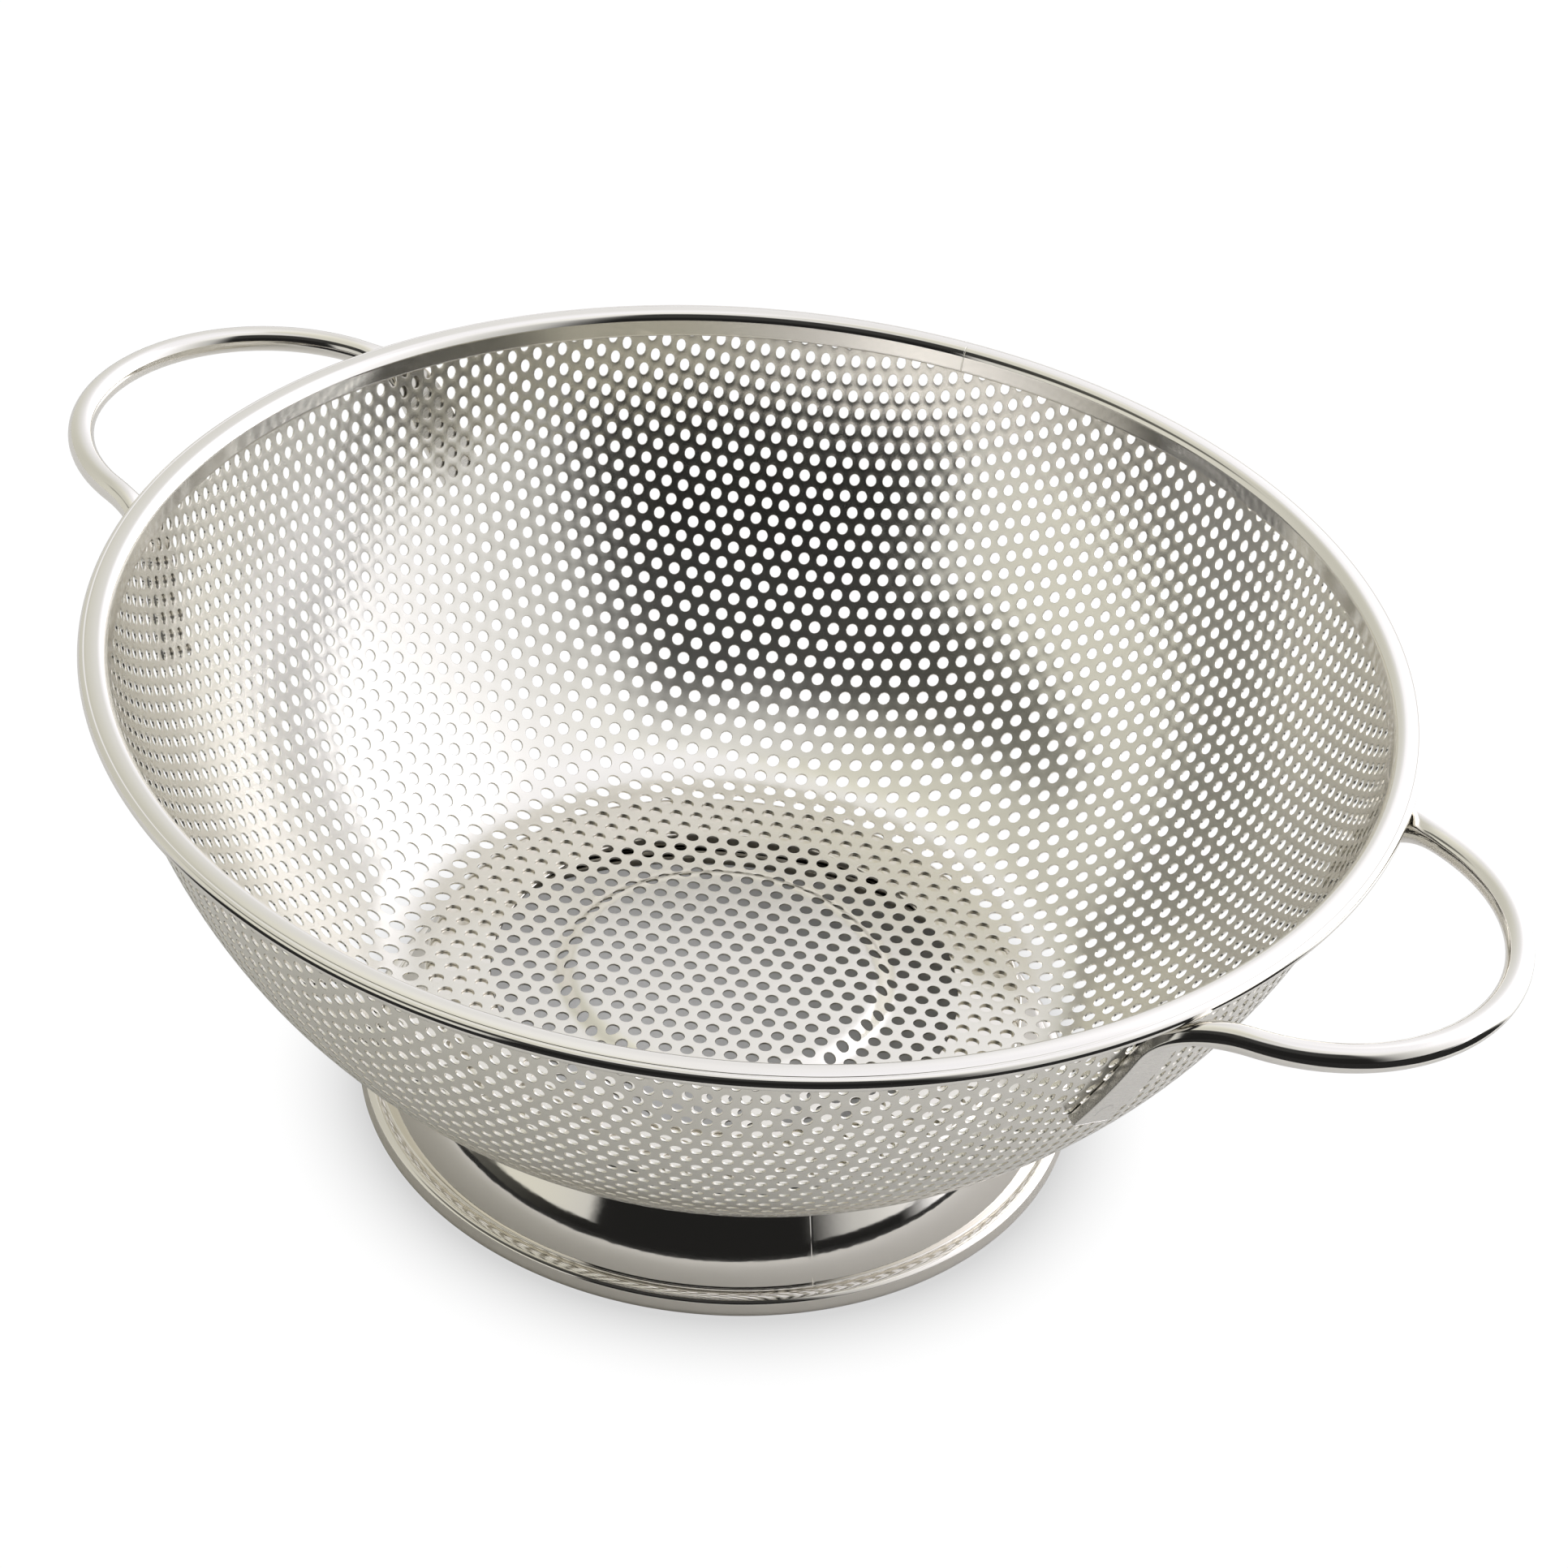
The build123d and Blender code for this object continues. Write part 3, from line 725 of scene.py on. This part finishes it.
HALF_LENGTH = float(np.linalg.norm(np.diff(handle_path()[0], axis=0), axis=1).sum())
ROD_STEEL = rod_steel(HALF_LENGTH - WELD_FROM_END)
for handle_name, flip in (("handle_right", False), ("handle_left", True)):
    handle(handle_name + "_rod", flip, handle_name, ROD_STEEL)

# ---------------------------------------------------------------- camera
# The photo's camera, fitted to its holes and circles: a focal length in the photo's pixels,
# a place in mm, and turns about its upright, level and viewing lines in degrees.
PHOTO_SIDE, FOCAL, SENSOR = 1932, 5000.0, 36.0
CAMERA_AT = np.array([390.3, -624.6, 630.8])
yaw, pitch, roll = np.radians([-31.29, 36.456, 5.874])
forward = np.array([math.sin(yaw) * math.cos(pitch), math.cos(yaw) * math.cos(pitch),
                    -math.sin(pitch)])
level = np.cross(forward, [0, 0, 1])
level /= np.linalg.norm(level)
rise = np.cross(level, forward)
cam_x = math.cos(roll) * level + math.sin(roll) * rise
cam_y = -math.sin(roll) * level + math.cos(roll) * rise
camera = bpy.data.cameras.new("camera")
camera.sensor_width = SENSOR
camera.sensor_fit = "HORIZONTAL"
camera.lens = SENSOR * FOCAL / PHOTO_SIDE
camera.clip_end = 20.0
camera_object = bpy.data.objects.new("camera", camera)
bpy.context.scene.collection.objects.link(camera_object)
placing = Matrix([[cam_x[i], cam_y[i], -forward[i], CAMERA_AT[i] * MM] for i in range(3)]
                 + [[0, 0, 0, 1]])
camera_object.matrix_world = placing
bpy.context.scene.camera = camera_object

# ---------------------------------------------------------------- stage and light
# azimuths in degrees of the unlit side with the camera, and of the light behind the object
UNLIT_SIDE, LIT_SIDE = -55.0, 50.0
# half the width of the unlit side's horizon: dark up to the second value, light past the first
UNLIT_HALF = (88.0, 80.0)
# light round the horizon: azimuth in degrees, brightness where 1 is white
ROUND_LIGHT = [(-180, 0.8), (-160, 0.84), (-138, 0.98), (-115, 1.0), (-95, 0.9), (-60, 0.57),
               (-25, 0.5), (-6, 0.8), (8, 1.15), (22, 1.45), (38, 1.75), (58, 2.45), (80, 2.5),
               (98, 1.7), (118, 1.18), (140, 1.0), (160, 0.84), (180, 0.8)]


def white_board(tree, radius, azimuth):
    """Shader of the board as the object sees it: white, with a painted glow at the back that stands
    for light from behind, and round the front of the object, where the unlit room begins, a near
    black sheet painted on as the room's shade."""
    near_edge, far_edge = 288.0, 300.0
    # past the board's edge round the front, a near black sheet is painted in as the shade of the
    # unlit room
    off_front = calc(tree, "ABSOLUTE", calc(tree, "SUBTRACT", azimuth, math.radians(UNLIT_SIDE)))
    painted_dark_share = calc(tree, "MULTIPLY", fade(tree, radius, near_edge, far_edge),
                fade(tree, off_front, *np.radians(UNLIT_HALF).tolist()))
    white = add_node(tree, "ShaderNodeBsdfDiffuse", {"Color": (0.86, 0.855, 0.84, 1)}).outputs[0]
    dark = add_node(tree, "ShaderNodeBsdfDiffuse", {"Color": (0.03, 0.03, 0.03, 1)}).outputs[0]
    # painted light: the board's far part at the back glows, standing for light from behind
    off_back = calc(tree, "ABSOLUTE", calc(tree, "SUBTRACT", azimuth, math.radians(LIT_SIDE)))
    painted_backlight = calc(tree, "MULTIPLY", fade(tree, radius, 230.0, 420.0, 0.0, 1.3),
               fade(tree, off_back, math.radians(65.0), math.radians(35.0)))
    light = add_node(tree, "ShaderNodeEmission", links={"Strength": painted_backlight}).outputs[0]
    white = add_node(tree, "ShaderNodeAddShader", links={0: white, 1: light}).outputs[0]
    return add_node(tree, "ShaderNodeMixShader", links={0: painted_dark_share, 1: white, 2: dark}).outputs[0]


def seen_board(tree, x, y, radius):
    """Shader of the board as the camera sees it: plain white, with a soft shadow round the foot
    painted into its glow, and a grey inside the foot lifted by painted light, darker towards the
    right at the back."""
    shadow, shadow_width, painted_light_left, painted_light_right, inside_grey = -0.34, 26.0, 0.24, 0.02, 0.76
    outside = calc(tree, "GREATER_THAN", radius, FOOT_R - 2.0)
    inside = calc(tree, "SUBTRACT", 1.0, outside)
    right = math.radians(32.0)
    across = calc(tree, "MULTIPLY_ADD", x, math.cos(right),
                  calc(tree, "MULTIPLY", y, math.sin(right)))
    near = add_node(tree, "ShaderNodeMapRange", {
        "From Min": FOOT_R, "From Max": FOOT_R + shadow_width, "To Min": 1.0, "To Max": 0.0},
        {"Value": radius}).outputs["Result"]
    # painted shadow: the white glow is lowered near the foot, by the square of the nearness
    shaded = calc(tree, "MULTIPLY_ADD", calc(tree, "MULTIPLY", near, near), shadow, 1.0)
    # painted light inside the foot, added to the grey there, fading towards the right at the back
    painted_light_inside = fade(tree, across, -30.0, 45.0, painted_light_left, painted_light_right)
    strength = calc(tree, "ADD", calc(tree, "MULTIPLY", outside, shaded),
                    calc(tree, "MULTIPLY", inside, painted_light_inside))
    grey = calc(tree, "MULTIPLY_ADD", inside, inside_grey, 0.04)
    pale = add_node(tree, "ShaderNodeBsdfDiffuse", links={"Color": grey}).outputs[0]
    glow = add_node(tree, "ShaderNodeEmission", links={"Strength": strength}).outputs[0]
    return add_node(tree, "ShaderNodeAddShader", links={0: pale, 1: glow}).outputs[0]


def sweep():
    """A level square board under the object, the same on all sides."""
    mesh = bpy.data.meshes.new("floor")
    reach = 3.0
    mesh.from_pydata([(-reach, -reach, 0), (reach, -reach, 0), (reach, reach, 0),
                      (-reach, reach, 0)], [], [(0, 1, 2, 3)])
    floor = bpy.data.objects.new("floor", mesh)
    bpy.context.scene.collection.objects.link(floor)
    material = bpy.data.materials.new("matt_white_sweep")
    material.use_nodes = True
    tree = material.node_tree
    tree.nodes.clear()
    _, x, y, _, radius, azimuth = coordinates(tree)
    is_camera = add_node(tree, "ShaderNodeLightPath").outputs["Is Camera Ray"]
    mixed = add_node(tree, "ShaderNodeMixShader", links={
        0: is_camera, 1: white_board(tree, radius, azimuth),
        2: seen_board(tree, x, y, radius)}).outputs[0]
    add_node(tree, "ShaderNodeOutputMaterial", links={"Surface": mixed})
    mesh.materials.append(material)


def round_light(tree, azimuth):
    """Brightness round the horizon by azimuth in degrees: a ramp holds it in quarters."""
    quarters = 4.0
    ring = tree.nodes.new("ShaderNodeValToRGB")
    ring.color_ramp.interpolation = "B_SPLINE"
    for position, _ in ROUND_LIGHT[1:-1]:
        ring.color_ramp.elements.new((position + 180) / 360)
    for element, (position, level) in zip(ring.color_ramp.elements, ROUND_LIGHT):
        element.position = (position + 180) / 360
        element.color = (level / quarters, level / quarters, level / quarters, 1)
    tree.links.new(calc(tree, "MULTIPLY_ADD", azimuth, 1 / 360, 0.5), ring.inputs[0])
    return calc(tree, "MULTIPLY", ring.outputs[0], quarters)


def unlit_room(tree, azimuth, height):
    """1 in the dark part of the surroundings, about the camera, and 0 outside it."""
    # its top falls off to the left by the square of the azimuth past this one
    fall_from, fall, highest = -62.0, -0.0028, 63.0
    left = calc(tree, "MINIMUM", calc(tree, "ADD", azimuth, -fall_from), 0.0)
    top = calc(tree, "MULTIPLY_ADD", calc(tree, "MULTIPLY", left, left), fall, highest)
    under_top = fade(tree, calc(tree, "SUBTRACT", height, top), 5.0, -3.0)
    # left of the camera it is a high band, right of it it reaches down to the ground
    room = calc(tree, "MAXIMUM", fade(tree, azimuth, -95.0, -89.0), fade(tree, height, 29.0, 35.0))
    for mask in (under_top, fade(tree, azimuth, -9.0, -27.0),
                 fade(tree, azimuth, -166.0, -150.0)):
        room = calc(tree, "MULTIPLY", room, mask)
    # beyond the board the room is dark along the horizon, further round on both sides
    off_front = calc(tree, "ABSOLUTE", calc(tree, "ADD", azimuth, -UNLIT_SIDE))
    horizon = calc(tree, "MULTIPLY", fade(tree, off_front, *UNLIT_HALF),
                   fade(tree, height, 6.8, 5.6))
    return calc(tree, "MAXIMUM", room, horizon)


def blend(tree, share, low, high):
    """Low where the share is 0 and high where it is 1."""
    return calc(tree, "ADD", calc(tree, "MULTIPLY", low, calc(tree, "SUBTRACT", 1.0, share)),
                calc(tree, "MULTIPLY", high, share))


def light_colour(tree, azimuth, indirect):
    """Colour of the light by azimuth: creamy from the left, a little cool from behind."""
    creamy, cool = -155.0, 68.0
    cream_green, cream_blue, cool_blue = -0.01, -0.1, 0.07
    facing = []
    for centre, full in ((creamy, 0.8), (cool, 0.85)):
        turn = calc(tree, "MULTIPLY_ADD", azimuth, math.pi / 180, math.radians(-centre))
        near = fade(tree, calc(tree, "COSINE", turn), 0.3, full)
        facing.append(calc(tree, "MULTIPLY", near, indirect))
    blue = calc(tree, "ADD", calc(tree, "MULTIPLY_ADD", facing[0], cream_blue, 1.0),
                calc(tree, "MULTIPLY", facing[1], cool_blue))
    return vector(tree, 1.0, calc(tree, "MULTIPLY_ADD", facing[0], cream_green, 1.0), blue)


def studio():
    """Surroundings of the object: a bright room whose lightest side lies behind it to the
    right, and the unlit side with the camera, from the ground's far edge up to the lamps.
    Seen by the camera itself it is plain white."""
    world = bpy.data.worlds.new("studio")
    bpy.context.scene.world = world
    world.use_nodes = True
    tree = world.node_tree
    tree.nodes.clear()
    way = add_node(tree, "ShaderNodeTexCoord").outputs["Generated"]
    x, y, z = add_node(tree, "ShaderNodeSeparateXYZ", links={0: way}).outputs
    azimuth = calc(tree, "MULTIPLY", calc(tree, "ARCTAN2", y, x), 180 / math.pi)
    height = calc(tree, "MULTIPLY", calc(tree, "ARCSINE", z), 180 / math.pi)
    # overhead the light is nearly even, a little stronger at the back
    even, uneven, back = 1.16, 0.22, -1.0
    side = calc(tree, "COSINE", calc(tree, "MULTIPLY_ADD", azimuth, math.pi / 180, back))
    overhead = calc(tree, "MULTIPLY_ADD", side, uneven, even)
    level = blend(tree, fade(tree, height, 44.0, 62.0), round_light(tree, azimuth), overhead)
    unlit = calc(tree, "ADD", fade(tree, azimuth, -95.0, -165.0, 0.02, 0.2),
                 fade(tree, height, 30.0, 42.0, 0.0, 0.035))
    level = blend(tree, unlit_room(tree, azimuth, height), level, unlit)
    # a strip of light low behind the object
    off_back = calc(tree, "ABSOLUTE", calc(tree, "SUBTRACT", azimuth, LIT_SIDE))
    strip = calc(tree, "MULTIPLY", fade(tree, off_back, 45.0, 25.0),
                 fade(tree, height, 9.0, 4.0, 0.0, 1.8))
    level = calc(tree, "ADD", level, strip)
    lamps = 0.8
    seen = add_node(tree, "ShaderNodeLightPath").outputs["Is Camera Ray"]
    level = calc(tree, "MAXIMUM", calc(tree, "MULTIPLY", level, lamps), seen)
    colour = light_colour(tree, azimuth, calc(tree, "SUBTRACT", 1.0, seen))
    shell = add_node(tree, "ShaderNodeBackground",
                     links={"Strength": level, "Color": colour}).outputs[0]
    add_node(tree, "ShaderNodeOutputWorld", links={"Surface": shell})


sweep()
studio()

bpy.context.scene.view_settings.view_transform = "Standard"
bpy.context.view_layer.update()
